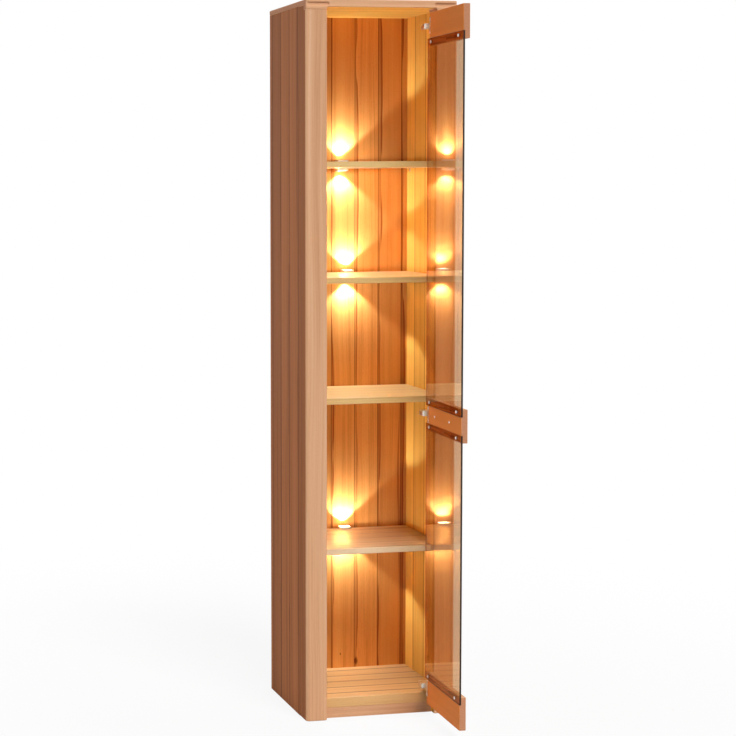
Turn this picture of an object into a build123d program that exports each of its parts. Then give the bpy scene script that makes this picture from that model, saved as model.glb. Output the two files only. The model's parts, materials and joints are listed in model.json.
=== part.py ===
from build123d import *

import os
from math import cos, radians, sin

# A tall, narrow display cabinet in solid wood with one glazed door.
# The frame: X runs across the width from its middle, +Z is up from the floor,
# and Y = 0 is the plane of the back edges, so the front looks along -Y.
# The door stands open at rest, as it does in the photograph.

# Overall size
cabinet_height = 2000.0
cabinet_width = 435.0
cabinet_depth = 380.0

# Front posts
post_width = 60.0
post_depth = 65.0
post_corner_radius = 12.0
post_inner_round = 2.0
post_foot_round = 3.0

# Side panels
side_thickness = 25.0
side_rear_round = 2.0

# Top board: full height over the posts, thinner at the side edges and over the inside
top_corner_height = 27.0
top_inside_height = 20.0
top_side_height = 14.0
top_lip_depth = 22.0
top_edge_round = 2.5
top_recess_round = 5.0

# Finger groove milled into each front corner of the top board
groove_height = 10.0
groove_below_top = 7.0
groove_length = 66.0
groove_depth = 4.0

# Bottom board and plinth rails
inner_floor_height = 57.0
bottom_board_thickness = 28.0
plinth_thickness = 22.0
front_setback = 24.0
board_edge_round = 1.5

# Back panel, held in a groove in each side panel
back_panel_thickness = 8.0
back_panel_recess = 18.0
panel_groove_depth = 8.0
panel_groove_clearance = 0.2

# Shelves, with the height of each upper face
shelf_thickness = 17.0
shelf_1_top = 1561.0
shelf_2_top = 1241.0
shelf_3_top = 905.0
shelf_4_top = 481.0
shelf_side_gap = 1.0
shelf_back_gap = 4.0

# Shelf supports: a pin in the side panel, a plate on it and a tongue under the shelf
support_pin_radius = 2.5
support_pin_length = 10.0
support_hole_clearance = 0.05
support_width = 10.0
support_drop = 10.0
support_plate = 0.8
support_tongue_length = 11.0
support_tongue_thickness = 2.0
support_front_inset = 35.0
support_rear_inset = 28.0

# Dowels
dowel_radius = 4.0
dowel_length = 30.0
dowel_hole_clearance = 0.05
dowel_end_gap = 1.0
dowel_in_top_board = 8.0
dowel_in_side_panel = 12.0
dowel_row_inset = 45.0

# Clip lamps at the back edge of three shelves, each set by eye near the shelf's middle
lamp_shelves = (0, 1, 3)
lamp_offsets = (-14.0, 3.0, -5.0)
lamp_width = 34.0
lamp_depth = 28.0
lamp_height = 6.0
lamp_corner_radius = 4.0
lamp_rim_bevel = 0.8
lamp_edge_gap = 2.0
lens_border = 2.5
lens_corner_radius = 2.5
lens_depth = 2.5
lens_thickness = 2.0
lens_gap = 0.1
clip_width = 24.0
clip_sheet = 1.5
clip_bend_round = 1.2
clip_leg_length = 28.0

# Door
door_thickness = 19.0
door_top_gap = 33.0
door_bottom = 31.0
door_hinge_gap = 2.0
door_free_gap = 3.0
rail_height = 90.0
middle_rail_centre = 855.0
rail_hinge_setback = 19.0
rail_round = 3.0

# Glass panes, sunk into the inner face of the rails
glass_thickness = 5.0
glass_overlap = 20.0
glass_edge_gap = 1.0
glass_screw_hinge_inset = 29.0
glass_screw_free_inset = 42.0
glass_hole_radius = 3.0

# Dome screws that hold the panes
dome_radius = 4.5
dome_height = 2.2
head_bevel = 0.6
wood_screw_radius = 2.0
pilot_clearance = 0.05
drill_extra = 1.0
glass_screw_grip = 9.0

# Hinges: a fixed arm on the post, an angled leaf on the rail's end, one pin each
pin_inset = 10.0
pin_radius = 2.5
pin_clearance = 0.05
knuckle_radius = 7.0
knuckle_height = 17.0
leaf_knuckle_height = 8.0
knuckle_play = 0.25
knuckle_side_play = 0.6
arm_plate_thickness = 2.0
arm_plate_start = 4.0
arm_plate_length = 42.0
arm_plate_height = 34.0
arm_body_start = 14.0
arm_body_length = 32.0
arm_body_reach = 28.5
arm_body_height = 15.0
arm_body_round = 3.5
leaf_thickness = 1.5
leaf_width = 10.0
leaf_height = 46.0
leaf_end_start = 4.0
leaf_web_width = 8.0
bottom_hinge_lift = 10.0
hinge_screw_radius = 1.75
hinge_screw_head_radius = 3.0
hinge_screw_head_height = 1.0
hinge_screw_length = 12.0
arm_screw_spacing = 24.0
leaf_screw_spacing = 34.0

# Handle on the outer face of the middle rail
handle_spacing = 128.0
handle_hinge_inset = 81.0
handle_radius = 5.0
handle_reach = 28.0
handle_bend_radius = 11.0
handle_screw_radius = 2.0
handle_hole_clearance = 0.2
handle_screw_head_radius = 3.5
handle_screw_head_height = 1.5
handle_screw_grip = 8.0

# Opening angle of the door as it is drawn, counted from closed
open_angle = 88.0

# Places worked out from the sizes
shelf_tops = (shelf_1_top, shelf_2_top, shelf_3_top, shelf_4_top)
half_width = cabinet_width / 2
front_y = -cabinet_depth
post_rear_y = front_y + post_depth
post_inner_x = half_width - post_width
wall_x = half_width - side_thickness
corner_underside_z = cabinet_height - top_corner_height
ceiling_z = cabinet_height - top_inside_height
side_top_z = cabinet_height - top_side_height
lip_rear_y = front_y + top_lip_depth
inner_front_y = front_y + front_setback
plinth_height = inner_floor_height - bottom_board_thickness
panel_rear_y = -back_panel_recess
panel_front_y = panel_rear_y - back_panel_thickness
shelf_rear_y = panel_front_y - shelf_back_gap
pin_x = post_inner_x - door_hinge_gap - pin_inset
pin_y = front_y + pin_inset
door_width = 2 * post_inner_x - door_hinge_gap - door_free_gap
door_top = cabinet_height - door_top_gap

# Door frame: local X runs from the pin towards the hinge edge, local Y towards the inner face
door_plane = Plane(
    origin=(pin_x, pin_y, 0),
    x_dir=(cos(radians(open_angle)), sin(radians(open_angle)), 0),
    z_dir=(0, 0, 1),
)
glass_hinge_end = pin_inset
free_end = pin_inset - door_width
rail_hinge_end = pin_inset - rail_hinge_setback
outer_face = -pin_inset
inner_face = door_thickness - pin_inset
rebate_floor = inner_face - glass_thickness

top_rail_bottom = door_top - rail_height
middle_rail_bottom = middle_rail_centre - rail_height / 2
middle_rail_top = middle_rail_centre + rail_height / 2
bottom_rail_top = door_bottom + rail_height
hinge_room = rail_height - glass_overlap
top_hinge_z = door_top - hinge_room / 2
bottom_hinge_z = door_bottom + hinge_room / 2 + bottom_hinge_lift
hinges = {"top": top_hinge_z, "middle": middle_rail_centre, "bottom": bottom_hinge_z}

os.makedirs("parts", exist_ok=True)


def keep(piece, name):
    """Labels a finished piece and writes its file."""
    piece.label = name
    export_step(piece, f"parts/{name}.step")


def board_outline(half_wall, half_opening, start_y, end_y, notch_y):
    """Half of a board that runs between the side panels and is notched round the posts."""
    return [
        (0, start_y),
        (half_opening, start_y),
        (half_opening, notch_y),
        (half_wall, notch_y),
        (half_wall, end_y),
        (0, end_y),
    ]


def notched_board(half_wall, half_opening, start_y, end_y, notch_y, z_low, thickness):
    """A board notched round both posts, with a softened front edge."""
    with BuildPart() as board:
        with BuildSketch(Plane.XY.offset(z_low)):
            with BuildLine():
                Polyline(*board_outline(half_wall, half_opening, start_y, end_y, notch_y), close=True)
            make_face()
            mirror(about=Plane.YZ)
        extrude(amount=thickness)
        front_edges = board.faces().sort_by(Axis.Y)[0].edges().filter_by(Axis.X)
        fillet(front_edges, radius=board_edge_round)
    return board.part


def side_name(side):
    return "right" if side > 0 else "left"


# Places of the shelf supports and of the dowels, shared by the pieces that they join
support_depths = (post_rear_y + support_front_inset, panel_front_y - support_rear_inset)
support_drop_to_pin = support_drop / 2
support_points = [
    (y, top - shelf_thickness - support_drop_to_pin) for top in shelf_tops for y in support_depths
]
dowel_middle_y = (post_rear_y + panel_front_y) / 2
top_dowel_x = half_width - side_thickness / 2
top_dowel_depths = (
    (lip_rear_y + post_rear_y) / 2,
    post_rear_y + dowel_row_inset,
    panel_front_y - dowel_row_inset,
)
bottom_dowel_z = inner_floor_height - bottom_board_thickness / 2
bottom_dowel_depths = (
    post_rear_y + dowel_row_inset,
    dowel_middle_y,
    panel_front_y - dowel_row_inset,
)
dowel_hole_radius = dowel_radius + dowel_hole_clearance


# Side panels: a plan profile with the back panel's groove, drilled for supports and dowels
def side_panel(side):
    groove_front = panel_front_y - panel_groove_clearance
    groove_rear = panel_rear_y + panel_groove_clearance
    plan = [
        (wall_x, post_rear_y),
        (half_width, post_rear_y),
        (half_width, 0),
        (wall_x, 0),
        (wall_x, groove_rear),
        (wall_x + panel_groove_depth, groove_rear),
        (wall_x + panel_groove_depth, groove_front),
        (wall_x, groove_front),
    ]
    with BuildPart() as panel:
        with BuildSketch():
            with BuildLine():
                Polyline(*[(side * x, y) for x, y in plan], close=True)
            make_face()
        extrude(amount=side_top_z)
        outer_face_edges = panel.faces().sort_by(Axis.X)[-1 if side > 0 else 0].edges()
        fillet(outer_face_edges.sort_by(Axis.Y)[-1], radius=side_rear_round)
        inner = [
            Plane(origin=(side * wall_x, y, z), x_dir=(0, 1, 0), z_dir=(-side, 0, 0))
            for y, z in support_points
        ]
        with Locations(*inner):
            Hole(radius=support_pin_radius + support_hole_clearance, depth=support_pin_length + drill_extra)
        with Locations(
            *[
                Plane(origin=(side * wall_x, y, bottom_dowel_z), x_dir=(0, 1, 0), z_dir=(-side, 0, 0))
                for y in bottom_dowel_depths
            ]
        ):
            Hole(radius=dowel_hole_radius, depth=dowel_in_side_panel + dowel_end_gap)
        with Locations(*[(side * top_dowel_x, y, side_top_z) for y in top_dowel_depths[1:]]):
            Hole(radius=dowel_hole_radius, depth=dowel_length - dowel_in_top_board + dowel_end_gap)
    return panel.part


for side in (-1, 1):
    keep(side_panel(side), f"side_panel_{side_name(side)}")


# Front posts: rounded outer corner, softened foot and a tongue that rises into the top board
def front_post(side):
    middle_x = side * (half_width + post_inner_x) / 2
    with BuildPart() as post:
        with BuildSketch():
            with Locations((middle_x, front_y + post_depth / 2)):
                Rectangle(post_width, post_depth)
        extrude(amount=corner_underside_z)
        uprights = post.edges().filter_by(Axis.Z).group_by(Axis.Y)[0].sort_by(Axis.X)
        fillet(uprights[-1 if side > 0 else 0], radius=post_corner_radius)
        uprights = post.edges().filter_by(Axis.Z).sort_by(Axis.X)
        inner_uprights = uprights[:2] if side > 0 else uprights[-2:]
        fillet(inner_uprights.sort_by(Axis.Y)[0], radius=post_inner_round)
        foot = post.faces().sort_by(Axis.Z)[0]
        rear_edge = foot.edges().sort_by(Axis.Y)[-1]
        fillet([edge for edge in foot.edges() if edge != rear_edge], radius=post_foot_round)
        with BuildSketch(Plane.XY.offset(corner_underside_z)):
            with Locations((side * (half_width - side_thickness / 2), (lip_rear_y + post_rear_y) / 2)):
                Rectangle(side_thickness, post_rear_y - lip_rear_y)
        extrude(amount=side_top_z - corner_underside_z)
        with Locations((side * top_dowel_x, top_dowel_depths[0], side_top_z)):
            Hole(radius=dowel_hole_radius, depth=dowel_length - dowel_in_top_board + dowel_end_gap)
        if side > 0:
            with Locations(*arm_screw_planes()):
                Hole(radius=hinge_screw_radius + pilot_clearance, depth=hinge_screw_length)
    return post.part


def arm_screw_planes():
    """Where each screw of the fixed hinge arms enters the right post, two for each hinge."""
    middle_y = pin_y + arm_plate_start + arm_plate_length / 2
    return [
        Plane(origin=(post_inner_x, middle_y, hinge_z + step), x_dir=(0, 1, 0), z_dir=(-1, 0, 0))
        for hinge_z in hinges.values()
        for step in (-arm_screw_spacing / 2, arm_screw_spacing / 2)
    ]


for side in (-1, 1):
    keep(front_post(side), f"front_post_{side_name(side)}")


# Top board: rounded front corners, a recess over the door, rebates over the sides, two grooves
with BuildPart() as top_board:
    with BuildSketch(Plane.XY.offset(corner_underside_z)):
        with Locations((0, front_y / 2)):
            Rectangle(cabinet_width, cabinet_depth)
    extrude(amount=top_corner_height)
    front_corners = top_board.edges().filter_by(Axis.Z).group_by(Axis.Y)[0]
    fillet(front_corners, radius=post_corner_radius)
    fillet(top_board.faces().sort_by(Axis.Z)[-1].edges(), radius=top_edge_round)
    with BuildSketch(Plane.XZ.offset(-front_y)) as recess:
        with Locations((0, corner_underside_z)):
            Rectangle(2 * post_inner_x, 2 * (ceiling_z - corner_underside_z))
        fillet(recess.vertices().group_by(Axis.Z)[-1], radius=top_recess_round)
    extrude(amount=-post_depth, mode=Mode.SUBTRACT)
    with BuildSketch(Plane.XY.offset(corner_underside_z)):
        with Locations((0, post_rear_y / 2)):
            Rectangle(2 * wall_x, -post_rear_y)
    extrude(amount=ceiling_z - corner_underside_z, mode=Mode.SUBTRACT)
    with BuildSketch(Plane.XY.offset(corner_underside_z)):
        with Locations(*[(side * top_dowel_x, lip_rear_y / 2) for side in (-1, 1)]):
            Rectangle(side_thickness, -lip_rear_y)
    extrude(amount=side_top_z - corner_underside_z, mode=Mode.SUBTRACT)
    groove_z = cabinet_height - groove_below_top - groove_height / 2
    with BuildSketch(Plane.XZ.offset(-front_y)):
        with Locations(*[(side * half_width, groove_z) for side in (-1, 1)]):
            SlotOverall(2 * groove_length, groove_height)
    extrude(amount=-groove_depth, mode=Mode.SUBTRACT)
    underside = [
        Plane(origin=(side * top_dowel_x, y, side_top_z), x_dir=(1, 0, 0), z_dir=(0, 0, -1))
        for side in (-1, 1)
        for y in top_dowel_depths
    ]
    with Locations(*underside):
        Hole(radius=dowel_hole_radius, depth=dowel_in_top_board + dowel_end_gap)
keep(top_board.part, "top_board")


# Bottom board, drilled for the dowels in its ends
bottom = notched_board(
    wall_x, post_inner_x, inner_front_y, 0, post_rear_y, plinth_height, bottom_board_thickness
)
with BuildPart() as bottom_board:
    add(bottom)
    ends = [
        Plane(origin=(side * wall_x, y, bottom_dowel_z), x_dir=(0, 1, 0), z_dir=(side, 0, 0))
        for side in (-1, 1)
        for y in bottom_dowel_depths
    ]
    with Locations(*ends):
        Hole(radius=dowel_hole_radius, depth=dowel_length - dowel_in_side_panel + dowel_end_gap)
keep(bottom_board.part, "bottom_board")

with BuildPart() as plinth_front:
    with BuildSketch():
        with Locations((0, inner_front_y + plinth_thickness / 2)):
            Rectangle(2 * post_inner_x, plinth_thickness)
    extrude(amount=plinth_height)
keep(plinth_front.part, "plinth_front")

with BuildPart() as plinth_rear:
    with BuildSketch():
        with Locations((0, -plinth_thickness / 2)):
            Rectangle(2 * wall_x, plinth_thickness)
    extrude(amount=plinth_height)
keep(plinth_rear.part, "plinth_rear")

with BuildPart() as back_panel:
    with BuildSketch(Plane.XY.offset(inner_floor_height)):
        with Locations((0, (panel_front_y + panel_rear_y) / 2)):
            Rectangle(
                2 * (wall_x + panel_groove_depth - panel_groove_clearance), back_panel_thickness
            )
    extrude(amount=ceiling_z - inner_floor_height)
keep(back_panel.part, "back_panel")


# Shelves
for number, shelf_top in enumerate(shelf_tops, start=1):
    shelf = notched_board(
        wall_x - shelf_side_gap,
        post_inner_x - shelf_side_gap,
        inner_front_y,
        shelf_rear_y,
        post_rear_y + shelf_side_gap,
        shelf_top - shelf_thickness,
        shelf_thickness,
    )
    keep(shelf, f"shelf_{number}")


# Shelf supports: a plate and tongue drawn from the front, and a round pin into the side panel
with BuildPart() as shelf_supports:
    for side in (-1, 1):
        for y, pin_z in support_points:
            seat_z = pin_z + support_drop_to_pin
            with BuildSketch(Plane.XZ.offset(-y - support_width / 2)):
                with BuildLine():
                    Polyline(
                        (side * wall_x, seat_z - support_drop),
                        (side * wall_x, seat_z),
                        (side * (wall_x - support_tongue_length), seat_z),
                        (side * (wall_x - support_tongue_length), seat_z - support_tongue_thickness),
                        (side * (wall_x - support_plate), seat_z - support_tongue_thickness),
                        (side * (wall_x - support_plate), seat_z - support_drop),
                        close=True,
                    )
                make_face()
            extrude(amount=support_width)
            with BuildSketch(Plane.YZ.offset(side * (wall_x - support_plate / 2))):
                with Locations((y, pin_z)):
                    Circle(support_pin_radius)
            extrude(amount=side * (support_pin_length + support_plate / 2))
keep(shelf_supports.part, "shelf_supports")


# Plain round dowels
def dowel_bodies(planes):
    with BuildPart() as dowels:
        for plane in planes:
            with BuildSketch(plane) as end:
                Circle(dowel_radius)
            extrude(end.sketch, amount=dowel_length)
    return dowels.part


top_dowel_planes = [
    Plane(
        origin=(side * top_dowel_x, y, side_top_z + dowel_in_top_board - dowel_length),
        x_dir=(1, 0, 0),
        z_dir=(0, 0, 1),
    )
    for side in (-1, 1)
    for y in top_dowel_depths
]
keep(dowel_bodies(top_dowel_planes), "top_dowels")

bottom_dowel_planes = [
    Plane(
        origin=(side * (wall_x + dowel_in_side_panel - dowel_length), y, bottom_dowel_z),
        x_dir=(0, 1, 0),
        z_dir=(side, 0, 0),
    )
    for side in (-1, 1)
    for y in bottom_dowel_depths
]
keep(dowel_bodies(bottom_dowel_planes), "bottom_dowels")


# Clip lamps: a sprung steel clip round the shelf's back edge and a square head on each leg
lamp_y = shelf_rear_y - lamp_edge_gap - lamp_depth / 2
lens_width = lamp_width - 2 * lens_border
lens_length = lamp_depth - 2 * lens_border


def lamp_clip(shelf_top, middle_x):
    low = shelf_top - shelf_thickness
    outline = [
        (shelf_rear_y - clip_leg_length, shelf_top),
        (shelf_rear_y, shelf_top),
        (shelf_rear_y, low),
        (shelf_rear_y - clip_leg_length, low),
        (shelf_rear_y - clip_leg_length, low - clip_sheet),
        (shelf_rear_y + clip_sheet, low - clip_sheet),
        (shelf_rear_y + clip_sheet, shelf_top + clip_sheet),
        (shelf_rear_y - clip_leg_length, shelf_top + clip_sheet),
    ]
    with BuildPart() as clip:
        with BuildSketch(Plane.YZ.offset(middle_x - clip_width / 2)):
            with BuildLine():
                Polyline(*outline, close=True)
            make_face()
        extrude(amount=clip_width)
        bends = clip.edges().filter_by(Axis.X).group_by(Axis.Y)[-1]
        fillet(bends, radius=clip_bend_round)
    return clip.part


def head_planes(shelf_top, middle_x):
    """The seat of the upper head, facing up, and of the lower head, facing down."""
    low = shelf_top - shelf_thickness
    return [
        Plane(origin=(middle_x, lamp_y, shelf_top + clip_sheet), x_dir=(1, 0, 0), z_dir=(0, 0, 1)),
        Plane(origin=(middle_x, lamp_y, low - clip_sheet), x_dir=(1, 0, 0), z_dir=(0, 0, -1)),
    ]


def lamp_heads(seats):
    with BuildPart() as head:
        with BuildSketch(Plane.XY):
            RectangleRounded(lamp_width, lamp_depth, lamp_corner_radius)
        extrude(amount=lamp_height)
        chamfer(head.faces().sort_by(Axis.Z)[-1].edges(), length=lamp_rim_bevel)
        with BuildSketch(Plane.XY.offset(lamp_height)):
            RectangleRounded(lens_width, lens_length, lens_corner_radius)
        extrude(amount=-lens_depth, mode=Mode.SUBTRACT)
    with BuildPart() as heads:
        for seat in seats:
            add(seat.location * head.part)
    return heads.part


def lamp_lenses(seats):
    with BuildPart() as lenses:
        for seat in seats:
            with BuildSketch(seat.offset(lamp_height - lens_depth)) as panel:
                RectangleRounded(
                    lens_width - 2 * lens_gap, lens_length - 2 * lens_gap, lens_corner_radius - lens_gap
                )
            extrude(panel.sketch, amount=lens_thickness)
    return lenses.part


for number, (shelf_index, middle_x) in enumerate(zip(lamp_shelves, lamp_offsets), start=1):
    shelf_top = shelf_tops[shelf_index]
    seats = head_planes(shelf_top, middle_x)
    keep(lamp_clip(shelf_top, middle_x), f"lamp_{number}_clip")
    keep(lamp_heads(seats), f"lamp_{number}_heads")
    keep(lamp_lenses(seats), f"lamp_{number}_lenses")


# Door rails: rebated on the inner face for the glass and square where the hinge leaf sits
def door_rail(z_low, rebates, drillings):
    with BuildPart() as rail:
        with BuildSketch(door_plane.offset(z_low)):
            with Locations(((free_end + rail_hinge_end) / 2, (outer_face + inner_face) / 2)):
                Rectangle(rail_hinge_end - free_end, door_thickness)
        extrude(amount=rail_height)
        uprights = rail.edges().filter_by(Axis.Z).sort_by(Axis((0, 0, 0), door_plane.x_dir))
        outer_hinge_upright = uprights[2:].sort_by(Axis((0, 0, 0), door_plane.y_dir))[0]
        fillet([uprights[0], uprights[1], outer_hinge_upright], radius=rail_round)
        for rebate_low, rebate_high in rebates:
            with BuildSketch(door_plane.offset(rebate_low)):
                with Locations(((free_end + rail_hinge_end) / 2, inner_face)):
                    Rectangle(2 * door_width, 2 * glass_thickness)
            extrude(amount=rebate_high - rebate_low, mode=Mode.SUBTRACT)
        for x, y_start, z, radius, depth in drillings:
            with BuildSketch(inward_plane(x, y_start, z)):
                Circle(radius)
            extrude(amount=-depth, mode=Mode.SUBTRACT)
    return rail.part


def inward_plane(x, y, z):
    """A plane on the door at the given place, whose normal points out of the inner face."""
    return Plane(
        origin=door_plane.from_local_coords(Vector(x, y, z)),
        x_dir=door_plane.x_dir,
        z_dir=door_plane.y_dir,
    )


def glass_screw_points(rail_edge, inward):
    """The two screws in one strip of glass overlap; inward is +1 where the rail lies above."""
    z = rail_edge + inward * glass_overlap / 2
    return [
        (glass_hinge_end - glass_screw_hinge_inset, z),
        (free_end + glass_screw_free_inset, z),
    ]


upper_glass_top = glass_screw_points(top_rail_bottom, 1)
upper_glass_bottom = glass_screw_points(middle_rail_top, -1)
lower_glass_top = glass_screw_points(middle_rail_bottom, 1)
lower_glass_bottom = glass_screw_points(bottom_rail_top, -1)

leaf_screw_x = rail_hinge_end - leaf_width / 2


def leaf_screw_points(hinge_z):
    return [(leaf_screw_x, hinge_z + step) for step in (-leaf_screw_spacing / 2, leaf_screw_spacing / 2)]


handle_points = [-(handle_hinge_inset - pin_inset), -(handle_hinge_inset - pin_inset) - handle_spacing]


def glass_drillings(points):
    radius = wood_screw_radius + pilot_clearance
    return [(x, rebate_floor, z, radius, glass_screw_grip + drill_extra) for x, z in points]


def leaf_drillings(hinge_z):
    radius = hinge_screw_radius + pilot_clearance
    return [(x, inner_face, z, radius, hinge_screw_length) for x, z in leaf_screw_points(hinge_z)]


handle_drillings = [
    (x, inner_face, middle_rail_centre, handle_screw_radius + handle_hole_clearance, door_thickness)
    for x in handle_points
]

top_rebate = (top_rail_bottom, top_rail_bottom + glass_overlap + glass_edge_gap)
middle_rebates = [
    (middle_rail_bottom, middle_rail_bottom + glass_overlap + glass_edge_gap),
    (middle_rail_top - glass_overlap - glass_edge_gap, middle_rail_top),
]
bottom_rebate = (bottom_rail_top - glass_overlap - glass_edge_gap, bottom_rail_top)

keep(
    door_rail(
        top_rail_bottom,
        [top_rebate],
        glass_drillings(upper_glass_top) + leaf_drillings(top_hinge_z),
    ),
    "door_rail_top",
)
keep(
    door_rail(
        middle_rail_bottom,
        middle_rebates,
        glass_drillings(upper_glass_bottom + lower_glass_top)
        + leaf_drillings(middle_rail_centre)
        + handle_drillings,
    ),
    "door_rail_middle",
)
keep(
    door_rail(
        door_bottom,
        [bottom_rebate],
        glass_drillings(lower_glass_bottom) + leaf_drillings(bottom_hinge_z),
    ),
    "door_rail_bottom",
)


# Glass panes, drilled for their screws
def glass_pane(z_low, z_high, holes):
    with BuildPart() as pane:
        with BuildSketch(door_plane.offset(z_low)):
            with Locations(((free_end + glass_hinge_end) / 2, inner_face - glass_thickness / 2)):
                Rectangle(glass_hinge_end - free_end, glass_thickness)
        extrude(amount=z_high - z_low)
        for x, z in holes:
            with BuildSketch(inward_plane(x, inner_face, z)):
                Circle(glass_hole_radius)
            extrude(amount=-glass_thickness, mode=Mode.SUBTRACT)
    return pane.part


keep(
    glass_pane(
        middle_rail_top - glass_overlap,
        top_rail_bottom + glass_overlap,
        upper_glass_top + upper_glass_bottom,
    ),
    "glass_upper",
)
keep(
    glass_pane(
        bottom_rail_top - glass_overlap,
        middle_rail_bottom + glass_overlap,
        lower_glass_top + lower_glass_bottom,
    ),
    "glass_lower",
)


# Screws: a round shank and a bevelled head
def screw_bodies(places, shank_radius, shank_length, head_radius, head_height):
    """One screw at each plane, its head standing on the plane and its shank going down."""
    with BuildPart() as screw:
        with BuildSketch(Plane.XY.offset(-shank_length)):
            Circle(shank_radius)
        extrude(amount=shank_length)
        with BuildSketch(Plane.XY):
            Circle(head_radius)
        extrude(amount=head_height)
        rim = screw.edges().sort_by(Axis.Z)[-1]
        chamfer(rim, length=head_height * head_bevel)
    with BuildPart() as screws:
        for place in places:
            add(place.location * screw.part)
    return screws.part


glass_screw_places = [
    inward_plane(x, inner_face, z)
    for x, z in upper_glass_top + upper_glass_bottom + lower_glass_top + lower_glass_bottom
]
keep(
    screw_bodies(
        glass_screw_places,
        wood_screw_radius,
        glass_thickness + glass_screw_grip,
        dome_radius,
        dome_height,
    ),
    "glass_screws",
)

leaf_screw_places = [
    inward_plane(x, inner_face + leaf_thickness, z)
    for hinge_z in hinges.values()
    for x, z in leaf_screw_points(hinge_z)
]
keep(
    screw_bodies(
        leaf_screw_places,
        hinge_screw_radius,
        hinge_screw_length,
        hinge_screw_head_radius,
        hinge_screw_head_height,
    ),
    "hinge_leaf_screws",
)

arm_screw_places = [plane.offset(arm_plate_thickness) for plane in arm_screw_planes()]
keep(
    screw_bodies(
        arm_screw_places,
        hinge_screw_radius,
        hinge_screw_length,
        hinge_screw_head_radius,
        hinge_screw_head_height,
    ),
    "hinge_arm_screws",
)


# Hinge arm: a plate screwed to the post, a rounded body on it and two knuckles round the pin
def hinge_arm(hinge_z):
    to_post = pin_inset + door_hinge_gap
    plate_x = to_post - arm_plate_thickness
    web = [
        (0, 0),
        (plate_x, arm_plate_start),
        (plate_x, arm_body_start),
        (0, arm_body_start),
    ]
    body_middle = (to_post - arm_body_reach / 2, arm_body_start + arm_body_length / 2)
    with BuildPart() as arm:
        with BuildSketch(Plane((pin_x, pin_y, hinge_z - arm_body_height / 2))):
            with Locations(body_middle):
                Rectangle(arm_body_reach, arm_body_length)
        extrude(amount=arm_body_height)
        near_face = arm.faces().sort_by(Axis.X)[0]
        fillet(near_face.edges(), radius=arm_body_round)
        with BuildSketch(Plane((pin_x, pin_y, hinge_z - knuckle_height / 2))):
            with BuildLine():
                Polyline(*web, close=True)
            make_face()
            Circle(knuckle_radius)
        extrude(amount=knuckle_height)
        with BuildSketch(Plane((pin_x, pin_y, hinge_z - arm_plate_height / 2))):
            with Locations((plate_x + arm_plate_thickness / 2, arm_plate_start + arm_plate_length / 2)):
                Rectangle(arm_plate_thickness, arm_plate_length)
        extrude(amount=arm_plate_height)
        gap_height = leaf_knuckle_height + 2 * knuckle_play
        with BuildSketch(Plane((pin_x, pin_y, hinge_z - gap_height / 2))):
            Circle(knuckle_radius + knuckle_side_play)
        extrude(amount=gap_height, mode=Mode.SUBTRACT)
        with Locations((pin_x, pin_y, hinge_z)):
            Hole(radius=pin_radius + pin_clearance)
        for plane in arm_screw_planes():
            if abs(plane.origin.Z - hinge_z) < arm_plate_height:
                with BuildSketch(plane):
                    Circle(hinge_screw_radius + pilot_clearance)
                extrude(amount=arm_plate_thickness, mode=Mode.SUBTRACT)
    return arm.part


# Hinge leaf: angled sheet round the rail's inner corner with one knuckle between the arm's two
def hinge_leaf(hinge_z):
    end_x = rail_hinge_end + leaf_thickness
    flange_y = inner_face + leaf_thickness
    angle = [
        (rail_hinge_end, -leaf_end_start),
        (end_x, -leaf_end_start),
        (end_x, flange_y),
        (rail_hinge_end - leaf_width, flange_y),
        (rail_hinge_end - leaf_width, inner_face),
        (rail_hinge_end, inner_face),
    ]
    with BuildPart() as leaf:
        with BuildSketch(door_plane.offset(hinge_z - leaf_height / 2)):
            with BuildLine():
                Polyline(*angle, close=True)
            make_face()
        extrude(amount=leaf_height)
        with BuildSketch(door_plane.offset(hinge_z - leaf_knuckle_height / 2)):
            Circle(knuckle_radius)
            with Locations((end_x / 2, 0)):
                Rectangle(-end_x, leaf_web_width)
        extrude(amount=leaf_knuckle_height)
        with BuildSketch(door_plane.offset(hinge_z - leaf_knuckle_height / 2)):
            Circle(pin_radius + pin_clearance)
        extrude(amount=leaf_knuckle_height, mode=Mode.SUBTRACT)
        for x, z in leaf_screw_points(hinge_z):
            with BuildSketch(inward_plane(x, flange_y, z)):
                Circle(hinge_screw_radius + pilot_clearance)
            extrude(amount=-leaf_thickness, mode=Mode.SUBTRACT)
    return leaf.part


def hinge_pin(hinge_z):
    with BuildPart() as pin:
        with BuildSketch(Plane((pin_x, pin_y, hinge_z - knuckle_height / 2))):
            Circle(pin_radius)
        extrude(amount=knuckle_height)
    return pin.part


for place, hinge_z in hinges.items():
    keep(hinge_arm(hinge_z), f"hinge_{place}_arm")
    keep(hinge_pin(hinge_z), f"hinge_{place}_pin")
    keep(hinge_leaf(hinge_z), f"hinge_{place}_leaf")


# Handle: one round bar bent into a bow, drilled at both feet for its screws
handle_plane = door_plane.offset(middle_rail_centre)
bar_centre = outer_face - handle_reach
with BuildPart() as door_handle:
    with BuildLine(handle_plane):
        FilletPolyline(
            (handle_points[0], outer_face),
            (handle_points[0], bar_centre),
            (handle_points[1], bar_centre),
            (handle_points[1], outer_face),
            radius=handle_bend_radius,
        )
    with BuildSketch(inward_plane(handle_points[0], outer_face, middle_rail_centre)):
        Circle(handle_radius)
    sweep()
    for x in handle_points:
        with BuildSketch(inward_plane(x, outer_face, middle_rail_centre)):
            Circle(handle_screw_radius + pilot_clearance)
        extrude(amount=-(handle_screw_grip + drill_extra), mode=Mode.SUBTRACT)
keep(door_handle.part, "door_handle")

keep(
    screw_bodies(
        [inward_plane(x, inner_face, middle_rail_centre) for x in handle_points],
        handle_screw_radius,
        door_thickness + handle_screw_grip,
        handle_screw_head_radius,
        handle_screw_head_height,
    ),
    "handle_screws",
)
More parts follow.
